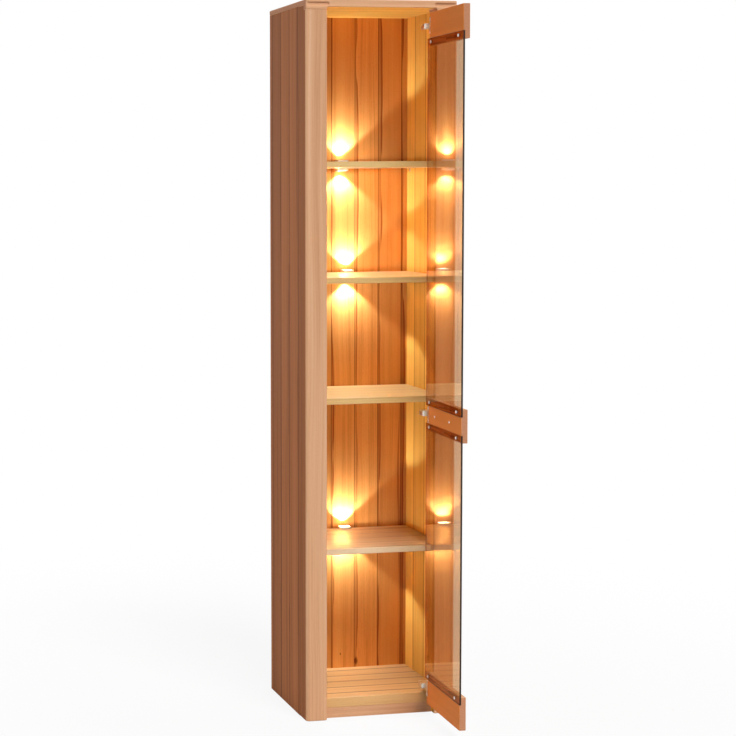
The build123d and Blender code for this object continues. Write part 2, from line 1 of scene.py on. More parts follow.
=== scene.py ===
import json
from math import cos, hypot, pi, radians, sin, sqrt

import bmesh
import bpy
from mathutils import Matrix, Vector


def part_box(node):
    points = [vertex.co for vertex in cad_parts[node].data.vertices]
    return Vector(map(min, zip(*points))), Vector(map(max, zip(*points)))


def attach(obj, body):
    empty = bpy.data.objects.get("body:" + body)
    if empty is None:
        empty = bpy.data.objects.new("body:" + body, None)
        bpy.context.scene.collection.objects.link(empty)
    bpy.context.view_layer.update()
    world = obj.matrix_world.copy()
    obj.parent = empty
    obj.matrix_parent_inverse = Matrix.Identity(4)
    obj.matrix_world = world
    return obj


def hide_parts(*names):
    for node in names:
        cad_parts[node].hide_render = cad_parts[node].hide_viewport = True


# A tall display cabinet in oiled beech with an open bronze glass door and lit shelves.
# Everything is in metres: X across the width, +Z up from the floor, the front looks along -Y.

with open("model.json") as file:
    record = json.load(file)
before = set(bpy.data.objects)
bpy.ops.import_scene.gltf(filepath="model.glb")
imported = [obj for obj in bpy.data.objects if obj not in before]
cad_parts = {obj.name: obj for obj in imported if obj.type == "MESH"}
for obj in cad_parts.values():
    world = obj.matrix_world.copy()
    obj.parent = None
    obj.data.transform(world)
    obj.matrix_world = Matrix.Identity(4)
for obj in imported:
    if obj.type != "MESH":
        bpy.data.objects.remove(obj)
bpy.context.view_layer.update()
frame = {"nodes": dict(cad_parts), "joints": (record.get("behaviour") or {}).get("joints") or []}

# Places taken from the frame. The ceiling starts behind the top board's thick front corners.
back_panel_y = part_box("back_panel")[0].y
inner_wall_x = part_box("side_panel_right")[0].x
ceiling_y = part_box("front_post_left")[0].y + 0.07
door_rails = [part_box(f"door_rail_{place}") for place in ("top", "middle", "bottom")]

# The door turns on this pin, and the frame shows it open
hinge = frame["joints"][0]
open_angle = -radians(hinge["range_deg"][0])
pin = Vector((hinge["pos_m"][0], hinge["pos_m"][1], 0.0))
straight_up = Vector((0.0, 0.0, 1.0))
door_along = Vector((cos(open_angle), sin(open_angle), 0.0))
door_inward = Vector((-sin(open_angle), cos(open_angle), 0.0))

# Softened edges
board_arris = 0.001
post_arris = 0.0016
rail_arris = 0.0008
back_arris = 0.0006
glass_arris = 0.0004


# Colours are written as they look on screen
def colour(code):
    """A screen colour such as D0A07C as linear red, green, blue and alpha."""
    parts = [int(code[i:i + 2], 16) / 255 for i in (0, 2, 4)]
    return (*[part / 12.92 if part <= 0.04045 else ((part + 0.055) / 1.055) ** 2.4 for part in parts], 1.0)


def between_colours(first, second, share):
    return tuple(one + (two - one) * share for one, two in zip(first, second))


white = (1.0, 1.0, 1.0, 1.0)


class Value:
    """A number that changes over a surface. Sums and products of it become Math nodes."""

    def __init__(self, finish, socket):
        self.finish = finish
        self.socket = socket

    def join(self, operation, first, second=0.0):
        made = self.finish.node("ShaderNodeMath", {"operation": operation}, {0: first, 1: second})
        return Value(self.finish, made.outputs[0])

    def __add__(self, other):
        return self.join("ADD", self, other)

    def __radd__(self, other):
        return self.join("ADD", other, self)

    def __sub__(self, other):
        return self.join("SUBTRACT", self, other)

    def __rsub__(self, other):
        return self.join("SUBTRACT", other, self)

    def __mul__(self, other):
        return self.join("MULTIPLY", self, other)

    def __rmul__(self, other):
        return self.join("MULTIPLY", other, self)

    def __truediv__(self, other):
        return self.join("DIVIDE", self, other)

    def __rtruediv__(self, other):
        return self.join("DIVIDE", other, self)

    def __pow__(self, other):
        return self.join("POWER", self, other)

    def __rpow__(self, other):
        return self.join("POWER", other, self)

    def __abs__(self):
        return self.join("ABSOLUTE", self)

    def floor(self):
        return self.join("FLOOR", self)

    def sine(self):
        return self.join("SINE", self)

    def least(self, other):
        return self.join("MINIMUM", self, other)

    def most(self, other):
        return self.join("MAXIMUM", self, other)

    def between(self, low, high):
        """A soft step: 0 below low, 1 above high, and smooth in between."""
        made = self.finish.node(
            "ShaderNodeMapRange",
            {"interpolation_type": "SMOOTHSTEP"},
            {"Value": self, "From Min": low, "From Max": high},
        )
        return Value(self.finish, made.outputs[0])


class Finish:
    """The nodes of a material, or of the world, while they are being made."""

    def __init__(self, owner):
        owner.use_nodes = True
        self.owner = owner
        self.tree = owner.node_tree
        self.tree.nodes.clear()

    def node(self, kind, settings=None, sockets=None):
        """Adds a node of this kind, with its settings, then the values or links of its sockets."""
        made = self.tree.nodes.new(kind)
        for key, setting in (settings or {}).items():
            if key == "stops":
                ramp = made.color_ramp
                while len(ramp.elements) < len(setting):
                    ramp.elements.new(0.5)
                for element, (position, stop_colour) in zip(ramp.elements, setting):
                    element.position = position
                    element.color = stop_colour
            else:
                setattr(made, key, setting)
        for key, value in (sockets or {}).items():
            if isinstance(value, Value):
                value = value.socket
            if isinstance(value, bpy.types.NodeSocket):
                self.tree.links.new(value, made.inputs[key])
            else:
                made.inputs[key].default_value = value
        return made

    def place(self):
        """The point on the piece, as three values in metres."""
        where = self.node("ShaderNodeTexCoord").outputs["Object"]
        parts = self.node("ShaderNodeSeparateXYZ", None, {0: where})
        return [Value(self, output) for output in parts.outputs]

    def place_on_door(self):
        """The point along the door from its pin, through its thickness, and its height."""
        x, y, z = self.place()
        x, y = x - pin.x, y - pin.y
        along = x * door_along.x + y * door_along.y
        inward = x * door_inward.x + y * door_inward.y
        return along, inward, z

    def noise(self, x, y, z, detail=2.0, roughness=0.5):
        point = self.node("ShaderNodeCombineXYZ", None, {0: x, 1: y, 2: z}).outputs[0]
        made = self.node(
            "ShaderNodeTexNoise",
            {"noise_dimensions": "3D"},
            {"Vector": point, "Scale": 1.0, "Detail": detail, "Roughness": roughness},
        )
        return Value(self, made.outputs[0])

    def marks(self, per_metre, stretch=(1.0, 1.0, 1.0), detail=2.0):
        """Noise with so many marks to the metre, longer ones along an axis whose stretch is small."""
        spots = [spot * (per_metre * share) for spot, share in zip(self.place(), stretch)]
        return self.noise(*spots, detail)

    def facing(self, axis):
        """1 where the surface looks along the axis, either way, and 0 elsewhere."""
        normal = self.node("ShaderNodeNewGeometry").outputs["Normal"]
        made = self.node("ShaderNodeVectorMath", {"operation": "DOT_PRODUCT"}, {0: normal, 1: axis})
        return abs(Value(self, made.outputs["Value"])).between(0.8, 0.95)

    def lot(self, number):
        """A value drawn for each whole number."""
        made = self.node("ShaderNodeTexWhiteNoise", {"noise_dimensions": "1D"}, {"W": number})
        return Value(self, made.outputs["Value"])

    def seen_by(self, *rays):
        """1 for a ray of one of these kinds, such as Is Camera Ray, and 0 for the others."""
        path = self.node("ShaderNodeLightPath")
        seen = Value(self, path.outputs[rays[0]])
        for ray in rays[1:]:
            seen = seen.most(Value(self, path.outputs[ray]))
        return seen

    def blend(self, first, second, share):
        """Two colours mixed: share 0 gives the first. A Mix node's colours are its sockets 6, 7 and 2."""
        made = self.node("ShaderNodeMix", {"data_type": "RGBA"}, {"Factor": share, 6: first, 7: second})
        return made.outputs[2]

    def brighten(self, shade, amount):
        made = self.node("ShaderNodeVectorMath", {"operation": "SCALE"}, {0: shade, "Scale": amount})
        return made.outputs[0]

    def bump(self, height, distance, strength):
        sockets = {"Height": height, "Distance": distance, "Strength": strength}
        return self.node("ShaderNodeBump", None, sockets).outputs[0]

    def principled(self, sockets):
        return self.node("ShaderNodeBsdfPrincipled", None, sockets).outputs[0]

    def mix_shaders(self, first, second, share):
        return self.node("ShaderNodeMixShader", None, {0: share, 1: first, 2: second}).outputs[0]

    def done(self, shader, output="ShaderNodeOutputMaterial"):
        self.node(output, None, {"Surface": shader})
        return self.owner


# Wood: the staves that the boards are glued from, and planks so wide that no joint falls on the piece
side_stave = 0.0905
back_stave = 0.0715
back_joint = 0.0322
top_stave = 0.075
shelf_stave = 0.07
shelf_shift = 0.017
floor_stave = 0.062
plank = 0.4
rail_plank = 4.0

# Tones from the heartwood to the pale wood
front_tones = ("A8704C", "D5A37C", "DFB391")
# Painted shade: the side tones are the front's beech made darker and redder, for faces that turn away from
# the light
painted_shade_side_tones = ("5C301A", "B06D43", "C07C52")
board_tones = ("9A5A2C", "D6B274", "E0C48C")
red_board_tones = ("8A4A30", "DABA93", "E4CAAA")
floor_tones = ("8A4A24", "CC9E66", "D8AE7A")
# Painted lamp glow: the back tones are warmer and deeper than the front's, for the light of the clip lamps
painted_glow_back_tones = ("8A3814", "DB924A", "E5A458")
# Painted lamp glow: the wall tones are the beech made golden for the light of the clip lamps inside
painted_glow_wall_tones = ("9A5020", "E9AC4E", "EFB860")
# Painted glow: the door tones are orange for light from the lit inside falling on the rails' inner faces
painted_glow_door_tones = ("A5603A", "E58A48", "EE9A58")


class Stave:
    """Where a point lies in its own stave of a glued board, which has a joint at joint_at."""

    seeds = (11.3, 47.9)

    def __init__(self, finish, across, width, joint_at):
        run = (across - joint_at) / width
        self.number = run.floor()
        share = run - self.number
        self.past_joint = share * width
        self.to_joint = share.least(1.0 - share) * width
        self.lot, self.other_lot = [finish.lot(self.number + seed) for seed in self.seeds]


class Grain:
    """The place in the wood itself, of which each stave shows another stretch."""

    def __init__(self, finish, across, depth, along, stave):
        self.finish = finish
        self.across = across + stave.lot * 3.7
        self.depth = depth + stave.other_lot * 2.9
        self.along = along + stave.other_lot * 5.3
        wander = self.straight(6.0, 6.0, 1.5) - 0.5
        self.bent = self.across + wander * 0.03

    def straight(self, across, depth, along, detail=2.0):
        """Noise with so many marks to the metre in each direction."""
        return self.finish.noise(self.across * across, self.depth * depth, self.along * along, detail)

    def wavy(self, across, depth, along, detail=2.0, roughness=0.5):
        """The same along lines that wander from side to side."""
        spots = (self.bent * across, self.depth * depth, self.along * along)
        return self.finish.noise(*spots, detail, roughness)


def bend_round_knots(across, along, knots):
    """The place across the grain, pushed aside round each knot, and how deep a point is in a knot."""
    in_knot = 0.0
    roundness = 0.45
    push = 0.45
    for knot_across, knot_along, size in knots:
        away = ((across - knot_across) ** 2.0 + ((along - knot_along) * roundness) ** 2.0) ** 0.5
        in_knot = (1.0 - away.between(size * 0.3, size)).most(in_knot)
        nearby = 1.0 - away.between(size, size * 4.0)
        across = across - (across - knot_across) * nearby * push
    return across, in_knot


def heartwood(wood, grain, stave, dark, strength, widest):
    """Red heartwood along one side of each joint, with a ragged end, and thin dark lines in the rest."""
    finish = grain.finish
    reach = finish.noise(stave.lot * 9.0, 0.0, grain.along * 2.2, 3.0).between(0.3, 0.7) * widest
    threads = grain.wavy(170.0, 90.0, 1.0).between(0.35, 0.65)
    band = 1.0 - (stave.past_joint - threads * 0.003).between(reach - 0.002, reach)
    rim = band * (stave.past_joint - threads * 0.002).between(reach - 0.005, reach - 0.001)
    wood = finish.blend(wood, dark, (band * (threads * 0.4 + 0.4) + rim * 0.35) * strength)
    thin_lines = grain.wavy(75.0, 50.0, 0.6, 1.0).between(0.68, 0.74)
    return finish.blend(wood, dark, thin_lines * (strength * 0.5 + 0.06))


def sawn_end(wood, grain, axis):
    """Year rings and open pores where the board is sawn across the grain."""
    finish = grain.finish
    rings = grain.straight(420.0, 60.0, 0.0, 1.0)
    specks = grain.straight(1300.0, 1300.0, 0.0, 1.0).between(0.5, 0.68)
    cut = finish.blend(colour("CB9270"), colour("B97E5C"), rings)
    cut = finish.blend(cut, colour("8A5A40"), specks * 0.55)
    return finish.blend(wood, cut, finish.facing(axis))


def beech(
    name, axes, tones, stave_width, joint_at, heart=0.2, seam=0.6, figure=1.0, turn=1.0, start=0.6,
    spread=0.12, heart_width=0.012, seam_width=0.0013, knots=(), gloss=0.58, sheen=0.03, on_door=False,
):
    """Oiled beech in glued staves. Axes run across the staves, through the board and along the grain.

    Heart, seam and figure say how strongly heartwood, joints and grain show. Turn, start and spread say
    how the tone changes from stave to stave.
    """
    finish = Finish(bpy.data.materials.new(name))
    spots = finish.place_on_door() if on_door else finish.place()
    across, depth, along = [spots["xyz".index(axis)] for axis in axes]
    stave = Stave(finish, across, stave_width, joint_at)
    across, in_knot = bend_round_knots(across, along, knots)
    grain = Grain(finish, across, depth, along, stave)
    dark, middle, pale = [colour(tone) for tone in tones]
    deep = (*[part * 0.35 for part in dark[:3]], 1.0)

    # Broad bands, fine lines, pores and short flecks all run along the grain
    bands = grain.wavy(42.0, 30.0, 0.8)
    lines = grain.wavy(300.0, 170.0, 2.4, roughness=0.6)
    pores = grain.straight(1500.0, 1100.0, 38.0, 1.0)
    flecks = grain.straight(900.0, 900.0, 190.0, 0.0).between(0.66, 0.78)
    shade = ((bands - 0.5) * 1.1 + (lines - 0.5) * 0.7) * figure + (pores - 0.5) * 0.3 + 0.5
    stops = [(0.0, between_colours(middle, dark, 0.55)), (0.5, middle), (1.0, pale)]
    wood = finish.node("ShaderNodeValToRGB", {"stops": stops}, {0: shade}).outputs[0]
    wood = heartwood(wood, grain, stave, dark, heart, heart_width)
    wood = finish.blend(wood, dark, flecks * 0.16)
    if knots:
        wood = finish.blend(wood, deep, in_knot * 0.8)
    wood = finish.brighten(wood, (stave.number * turn + start).sine() * spread + (1.0 - spread * 0.5))
    joint = 1.0 - stave.to_joint.between(seam_width * 0.25, seam_width)
    wood = finish.blend(wood, deep, joint * seam)
    directions = (door_along, door_inward, straight_up) if on_door else Matrix.Identity(3)
    wood = sawn_end(wood, grain, directions["xyz".index(axes[2])])

    height = lines * 0.5 + pores * 0.4 - joint * (1.6 * seam)
    return finish.done(finish.principled({
        "Base Color": wood,
        "Roughness": (lines - 0.5) * 0.16 + gloss,
        "Normal": finish.bump(height, distance=0.0002, strength=0.5),
        "Specular IOR Level": sheen,
    }))


def solid_beech(name, axes, tones, heart, figure, width=plank, starts_at=-plank, on_door=False):
    """Beech in one piece, without a joint."""
    return beech(
        name, axes, tones, width, starts_at, heart=heart, seam=0.0, figure=figure, turn=0.0, start=0.0,
        on_door=on_door,
    )


# Painted shade on the outer faces of the side panels and the posts
painted_shade_side_beech = beech(
    "painted_shade_side_beech", "yxz", painted_shade_side_tones, side_stave, -0.0295, heart=0.6, seam=0.55, figure=0.8, turn=2.1,
    heart_width=0.014, seam_width=0.003, sheen=0.02,
)
# Painted lamp glow on the inner faces of the sides and posts
painted_glow_wall_beech = beech(
    "painted_glow_wall_beech", "yxz", painted_glow_wall_tones, side_stave, -0.0986, heart=0.4, seam=0.8, figure=0.8, turn=2.1,
    heart_width=0.01, seam_width=0.0025,
)
post_beech = solid_beech("post_beech", "xyz", front_tones, heart=0.15, figure=1.3)
top_beech = beech("top_beech", "yzx", front_tones, top_stave, -0.02, heart=0.05, seam=0.3, figure=0.7)
# Painted lamp glow on the ceiling
painted_glow_ceiling_beech = beech("painted_glow_ceiling_beech", "yzx", painted_glow_wall_tones, top_stave, -0.02, heart=0.3, figure=0.7)
panel_knots = ((0.0372, 0.0755, 0.0075), (-0.0109, 0.099, 0.0025))
# Painted lamp glow on the back panel's inner face; its rear face keeps the plain front tones
painted_glow_back_beech = beech(
    "painted_glow_back_beech", "xyz", painted_glow_back_tones, back_stave, back_joint, heart=0.8, seam=0.75, figure=0.9, start=1.6,
    spread=0.16, knots=panel_knots,
)
rear_beech = beech(
    "rear_beech", "xyz", front_tones, back_stave, back_joint, heart=0.4, seam=0.5, figure=0.9, start=1.6,
    spread=0.16, knots=panel_knots,
)
plinth_beech = solid_beech("plinth_beech", "zyx", front_tones, heart=0.5, figure=1.2, starts_at=-0.1)
# Painted shade: the rear plinth takes the darker side tones
painted_shade_rear_plinth_beech = solid_beech(
    "painted_shade_rear_plinth_beech", "zyx", painted_shade_side_tones, heart=0.3, figure=0.8, starts_at=-0.1
)
rail_beech = solid_beech(
    "rail_beech", "zyx", front_tones, heart=0.1, figure=0.8, width=rail_plank, starts_at=-0.5, on_door=True
)
# Painted glow on the rails' inner faces, which are warmer than their outer faces
painted_glow_rail_inner_beech = solid_beech(
    "painted_glow_rail_inner_beech", "zyx", painted_glow_door_tones, heart=0.1, figure=0.4, width=rail_plank, starts_at=-0.5,
    on_door=True,
)
dowel_beech = {
    name: solid_beech(f"{name}_beech", "yzx", board_tones, heart=0.0, figure=0.5)
    for name in ("top_dowels", "bottom_dowels")
}
board_beech = {
    "bottom_board": beech(
        "floor_beech", "yzx", floor_tones, floor_stave, -0.06, heart=0.4, seam=1.0, figure=0.8,
        seam_width=0.0036, gloss=0.34, sheen=0.35,
    ),
}
for number in (1, 2, 3, 4):
    tones, heart = (red_board_tones, 0.8) if number == 4 else (board_tones, 0.2)
    board_beech[f"shelf_{number}"] = beech(
        f"shelf_{number}_beech", "yzx", tones, shelf_stave, -shelf_shift * number, heart=heart,
        gloss=0.34, sheen=0.35,
    )


# Metal
def metal(name, tone, roughness, brushed, stretch=(1.0, 1.0, 1.0)):
    """Metal with a fine blasted surface, or a drawn one whose marks are long where stretch is small."""
    finish = Finish(bpy.data.materials.new(name))
    marks = finish.marks(1800.0, stretch)
    cloud = finish.marks(60.0)
    return finish.done(finish.principled({
        "Base Color": finish.brighten(colour(tone)[:3], (marks - 0.5) * 0.25 + (cloud - 0.5) * 0.12 + 1.0),
        "Metallic": 1.0,
        "Roughness": (marks - 0.5) * brushed + (cloud - 0.5) * 0.08 + roughness,
        "Normal": finish.bump(marks, distance=0.00002, strength=0.5),
    }))


nickel = metal("satin_nickel", "E6E2DC", 0.28, 0.15)
handle_steel = metal("brushed_handle_steel", "C9C7C3", 0.3, 0.3, (0.06, 0.06, 1.0))
lamp_steel = metal("brushed_lamp_steel", "F2EFE8", 0.4, 0.25, (0.05, 1.0, 1.0))


# Glass
def bronze_glass(name, tint):
    """Glass that tints what is behind it. Both of its faces mirror, and light goes straight through."""
    finish = Finish(bpy.data.materials.new(name))
    glass_index = 1.52
    clear = finish.node("ShaderNodeBsdfTransparent", None, {"Color": tint}).outputs[0]
    mirror_sockets = {"Color": (0.96, 0.94, 0.91, 1.0), "Roughness": 0.0}
    mirror = finish.node("ShaderNodeBsdfGlossy", None, mirror_sockets).outputs[0]
    smear = finish.marks(30.0) * 0.04 + 0.98
    leaving = Value(finish, finish.node("ShaderNodeNewGeometry").outputs["Backfacing"])
    outside, inside = [
        Value(finish, finish.node("ShaderNodeFresnel", None, {"IOR": index}).outputs[0])
        for index in (glass_index, 1.0 / glass_index)
    ]
    gleam = (outside * (1.0 - leaving) + inside * leaving) * smear
    return finish.done(finish.mix_shaders(clear, mirror, gleam))


def glass_edge(name):
    """The ground free edge, which looks into the depth of the bronze glass."""
    finish = Finish(bpy.data.materials.new(name))
    ground = finish.marks(400.0, (1.0, 1.0, 0.225))
    return finish.done(finish.principled({
        "Base Color": finish.blend(colour("20150F"), colour("3A281C"), ground),
        "Roughness": ground * 0.2 + 0.4,
        "Specular IOR Level": 0.2,
        "Normal": finish.bump(ground, distance=0.00005, strength=0.4),
    }))


pane_face = bronze_glass("bronze_pane", (0.82, 0.68, 0.54, 1.0))
# Painted shade: a darker tint over the rails, for the wood behind the glass getting less light
painted_shade_pane_over_rail = bronze_glass("bronze_pane_painted_shade_over_rail", (0.66, 0.45, 0.38, 1.0))
pane_end = glass_edge("bronze_pane_end")
pane_edge = bronze_glass("bronze_pane_edge", (0.62, 0.36, 0.22, 1.0))


def glowing_lens(name):
    """A frosted lens with the light on behind it."""
    finish = Finish(bpy.data.materials.new(name))
    ripple = finish.marks(900.0, detail=1.0)
    return finish.done(finish.principled({
        "Base Color": colour("FFF3DA"),
        "Roughness": ripple * 0.1 + 0.2,
        "Emission Color": finish.blend(colour("FFD9A0"), colour("FFF2D8"), ripple),
        "Emission Strength": 14.0,
    }))


lens_glow = glowing_lens("lamp_lens_glow")


# Finishes of the plinths, the dowels, the metal parts and the lenses
def assign(node, material):
    """Gives a node of the frame this material in all its slots."""
    for slot in frame["nodes"][node].material_slots:
        slot.material = material


assign("plinth_front", plinth_beech)
assign("plinth_rear", painted_shade_rear_plinth_beech)
for name, material in dowel_beech.items():
    assign(name, material)
for node in frame["nodes"]:
    if node.startswith("hinge") or node in ("shelf_supports", "glass_screws", "handle_screws"):
        assign(node, nickel)
    if node.endswith("_clip") or node.endswith("_heads"):
        assign(node, lamp_steel)
    if node.endswith("_lenses"):
        assign(node, lens_glow)
assign("door_handle", handle_steel)


# Meshes
def piece(name, mesh, body, node, materials):
    """A finished piece that rides on its body and stands for a node of the frame."""
    made = bpy.data.meshes.new(name)
    mesh.normal_update()
    mesh.to_mesh(made)
    mesh.free()
    shown = bpy.data.objects.new(name, made)
    bpy.context.scene.collection.objects.link(shown)
    for material in materials:
        made.materials.append(material)
    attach(shown, body)
    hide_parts(node)


def door_matrix():
    """Turns the door's own directions into the frame's: along, inward and up from its pin."""
    turn = Matrix((door_along, door_inward, straight_up)).transposed().to_4x4()
    return Matrix.Translation(pin) @ turn


def copy_of(node, weld=0.000005, flat=radians(0.5)):
    """The node's own mesh with its flat faces whole again."""
    mesh = bmesh.new()
    mesh.from_mesh(frame["nodes"][node].data)
    bmesh.ops.remove_doubles(mesh, verts=mesh.verts, dist=weld)
    bmesh.ops.dissolve_limit(mesh, angle_limit=flat, verts=mesh.verts, edges=mesh.edges)
    return mesh


def is_sharp(edge, least_angle):
    return len(edge.link_faces) == 2 and edge.calc_face_angle() > least_angle


# Panes
pane_materials = (pane_face, pane_end, pane_edge, painted_shade_pane_over_rail)
face_slot, end_slot, edge_slot, painted_shade_slot = range(4)


def cut_at_rails(pane):
    """Divides the pane's faces along the edges of the rails, where its tint changes to the painted shade.
    """
    for rail_low, rail_high in door_rails:
        for level in (rail_low.z, rail_high.z):
            whole = [*pane.verts, *pane.edges, *pane.faces]
            bmesh.ops.bisect_plane(pane, geom=whole, plane_co=(0.0, 0.0, level), plane_no=straight_up)


def glass_pane(name):
    """The pane with its screw holes and softened edges. It is darker over the rails, in painted shade, and
    at its free end.
    """
    pane = copy_of(name)
    pane.transform(door_matrix().inverted())
    sharp = [edge for edge in pane.edges if is_sharp(edge, radians(60))]
    bmesh.ops.bevel(pane, geom=sharp, offset=glass_arris, segments=1, affect="EDGES", clamp_overlap=True)
    cut_at_rails(pane)
    pane.normal_update()
    for face in pane.faces:
        if abs(face.normal.y) > 0.9:
            height = face.calc_center_median().z
            over_rail = any(rail_low.z < height < rail_high.z for rail_low, rail_high in door_rails)
            face.material_index = painted_shade_slot if over_rail else face_slot
        else:
            at_free_end = face.normal.x < -0.6 and len(face.verts) == 4
            face.material_index = end_slot if at_free_end else edge_slot
    pane.transform(door_matrix())
    piece(name + "_pane", pane, "door", name, pane_materials)


for name in ("glass_upper", "glass_lower"):
    glass_pane(name)


# Boards
def run_of(edge):
    return (edge.verts[0].co - edge.verts[1].co).normalized()


def long_sharp_edges(board, shortest=0.03):
    """The convex edges of the board that are long, with the short ones that carry them on."""
    sharp = {edge for edge in board.edges if edge.is_convex and is_sharp(edge, radians(40))}
    picked = {edge for edge in sharp if edge.calc_length() > shortest}
    waiting = list(picked)
    while waiting:
        edge = waiting.pop()
        for other in (*edge.verts[0].link_edges, *edge.verts[1].link_edges):
            carries_on = abs(run_of(other).dot(run_of(edge))) > 0.8
            if other in sharp and other not in picked and carries_on:
                picked.add(other)
                waiting.append(other)
    return [edge for edge in board.edges if edge in picked]


def eased_board(name, arris, woods, inner=None, outer=None, body="cabinet"):
    """The board with its long edges eased. Inner faces take the second wood, and outer ones the third."""
    assign(name, woods[0])
    board = copy_of(name)
    board.normal_update()
    sharp = long_sharp_edges(board)
    bmesh.ops.bevel(
        board, geom=sharp, offset=arris, segments=2, profile=0.5, affect="EDGES", clamp_overlap=True
    )
    board.normal_update()
    for face in board.faces:
        face.material_index = 0
        if inner and inner(face):
            face.material_index = 1
        elif outer and outer(face):
            face.material_index = 2
    piece(name + "_eased", board, body, name, woods)


def is_inside_wall(face, side):
    """Whether a face of a side panel looks into the cabinet, in front of the back panel."""
    middle = face.calc_center_median()
    on_wall = middle.x * side < inner_wall_x + board_arris
    return face.normal.x * side < -0.5 and on_wall and middle.y < back_panel_y


# Sides and posts: painted shade on their outer faces, painted lamp glow on their inner faces
for side, name in ((-1, "left"), (1, "right")):
    eased_board(
        f"side_panel_{name}", board_arris, (painted_shade_side_beech, painted_glow_wall_beech),
        lambda face: is_inside_wall(face, side),
    )
    eased_board(
        f"front_post_{name}", post_arris, (post_beech, painted_glow_wall_beech, painted_shade_side_beech),
        lambda face: face.normal.x * side < -0.9 or face.normal.y > 0.9,
        lambda face: face.normal.x * side > 0.97,
    )
# The ceiling faces of the top board take the painted lamp glow
eased_board(
    "top_board", post_arris, (top_beech, painted_glow_ceiling_beech),
    lambda face: face.normal.z < -0.9 and face.calc_center_median().y > ceiling_y,
)
for name, material in board_beech.items():
    eased_board(name, board_arris, (material,))
# The rails' inner faces take the painted glow
for place in ("top", "middle", "bottom"):
    eased_board(
        f"door_rail_{place}", rail_arris, (rail_beech, painted_glow_rail_inner_beech),
        lambda face: face.normal.dot(door_inward) > 0.5, body="door",
    )
# The inner face of the back panel takes the painted lamp glow
eased_board(
    "back_panel", back_arris, (rear_beech, painted_glow_back_beech), lambda face: face.normal.y < -0.5
)


# Screws
def islands(node):
    """The corners of each separate solid of a node."""
    mesh = copy_of(node)
    reached = set()
    found = []
    for start in mesh.verts:
        waiting = [] if start in reached else [start]
        corners = []
        while waiting:
            corner = waiting.pop()
            if corner not in reached:
                reached.add(corner)
                corners.append(corner.co.copy())
                waiting.extend(edge.other_vert(corner) for edge in corner.link_edges)
        if corners:
            found.append(corners)
    mesh.free()
    return found


def cross_head(mesh, place, turn, radius, height):
    """A domed head with a cross recess, standing on its place. Shares are of its radius and height."""
    rim_rise = 0.3
    slot_half_width = 0.13
    slot_reach = 0.57
    slot_depth = 0.62
    steps = (0.0, 0.06, 0.12, 0.17, 0.34, 0.54, 0.6, 0.75, 0.88, 1.0)
    marks = sorted({-step for step in steps} | set(steps))
    grid = []
    for a in marks:
        row = []
        for b in marks:
            x, y = a * sqrt(1 - b * b / 2), b * sqrt(1 - a * a / 2)
            rise = rim_rise + (1.0 - rim_rise) * sqrt(max(0.0, 1 - min(1.0, hypot(x, y)) ** 2))
            narrow, wide = sorted((abs(a), abs(b)))
            if narrow < slot_half_width and wide < slot_reach:
                rise -= slot_depth
            row.append(mesh.verts.new(place + turn @ Vector((x * radius, y * radius, rise * height))))
        grid.append(row)
    for near, far in zip(grid, grid[1:]):
        for first in range(len(near) - 1):
            mesh.faces.new((near[first], far[first], far[first + 1], near[first + 1]))
    last_column = [row[-1] for row in grid[:-1]]
    first_column = [row[0] for row in grid[:0:-1]]
    rim = [*grid[0][:-1], *last_column, *grid[-1][:0:-1], *first_column]
    foot = []
    for corner in rim:
        flat = turn.inverted() @ (corner.co - place)
        foot.append(mesh.verts.new(place + turn @ Vector((flat.x, flat.y, 0.0))))
    for first in range(len(rim)):
        after = (first + 1) % len(rim)
        mesh.faces.new((rim[first], rim[after], foot[after], foot[first]))
    mesh.faces.new(foot)


def screws(node, out, body):
    """Every screw of the node with a domed cross head, where its plain solid is."""
    turn = out.to_track_quat("Z", "Y").to_matrix()
    mesh = bmesh.new()
    for corners in islands(node):
        local = [turn.inverted() @ corner for corner in corners]
        low = Vector([min(corner[axis] for corner in local) for axis in range(3)])
        high = Vector([max(corner[axis] for corner in local) for axis in range(3)])
        middle = (low + high) / 2
        radius = (high.x - low.x) / 2
        from_axis = [(hypot(corner.x - middle.x, corner.y - middle.y), corner.z) for corner in local]
        seat = min(z for away, z in from_axis if away > radius * 0.9)
        shank = min(away for away, z in from_axis if z < seat)
        length = seat - low.z
        cross_head(mesh, turn @ Vector((middle.x, middle.y, seat)), turn, radius, high.z - seat)
        shift = Matrix.Translation(turn @ Vector((middle.x, middle.y, seat - length / 2))) @ turn.to_4x4()
        bmesh.ops.create_cone(
            mesh, cap_ends=True, segments=16, radius1=shank * 0.5, radius2=shank, depth=length, matrix=shift
        )
    bmesh.ops.recalc_face_normals(mesh, faces=mesh.faces)
    for face in mesh.faces:
        face.smooth = True
    piece(node + "_crossed", mesh, body, node, (nickel,))


for node in ("glass_screws", "handle_screws", "hinge_leaf_screws"):
    screws(node, door_inward, "door")
screws("hinge_arm_screws", Vector((-1.0, 0.0, 0.0)), "cabinet")


# Stage: a white floor that keeps a faint shadow, and a white surround
def floor_finish():
    """Paper for the light that falls on it, but nearly all white to the camera and in the glass."""
    finish = Finish(bpy.data.materials.new("studio_floor"))
    seen = finish.seen_by("Is Camera Ray", "Is Glossy Ray")
    paper = finish.node("ShaderNodeBsdfDiffuse", None, {"Color": (0.6, 0.6, 0.6, 1.0)}).outputs[0]
    glow = finish.node("ShaderNodeEmission", None, {"Color": white, "Strength": 1.0}).outputs[0]
    x, y = finish.place()[:2]
    away = ((x * x + y * y) ** 0.5).between(0.6, 2.6)
    return finish.done(finish.mix_shaders(paper, glow, seen * (away * 0.1 + 0.9)))


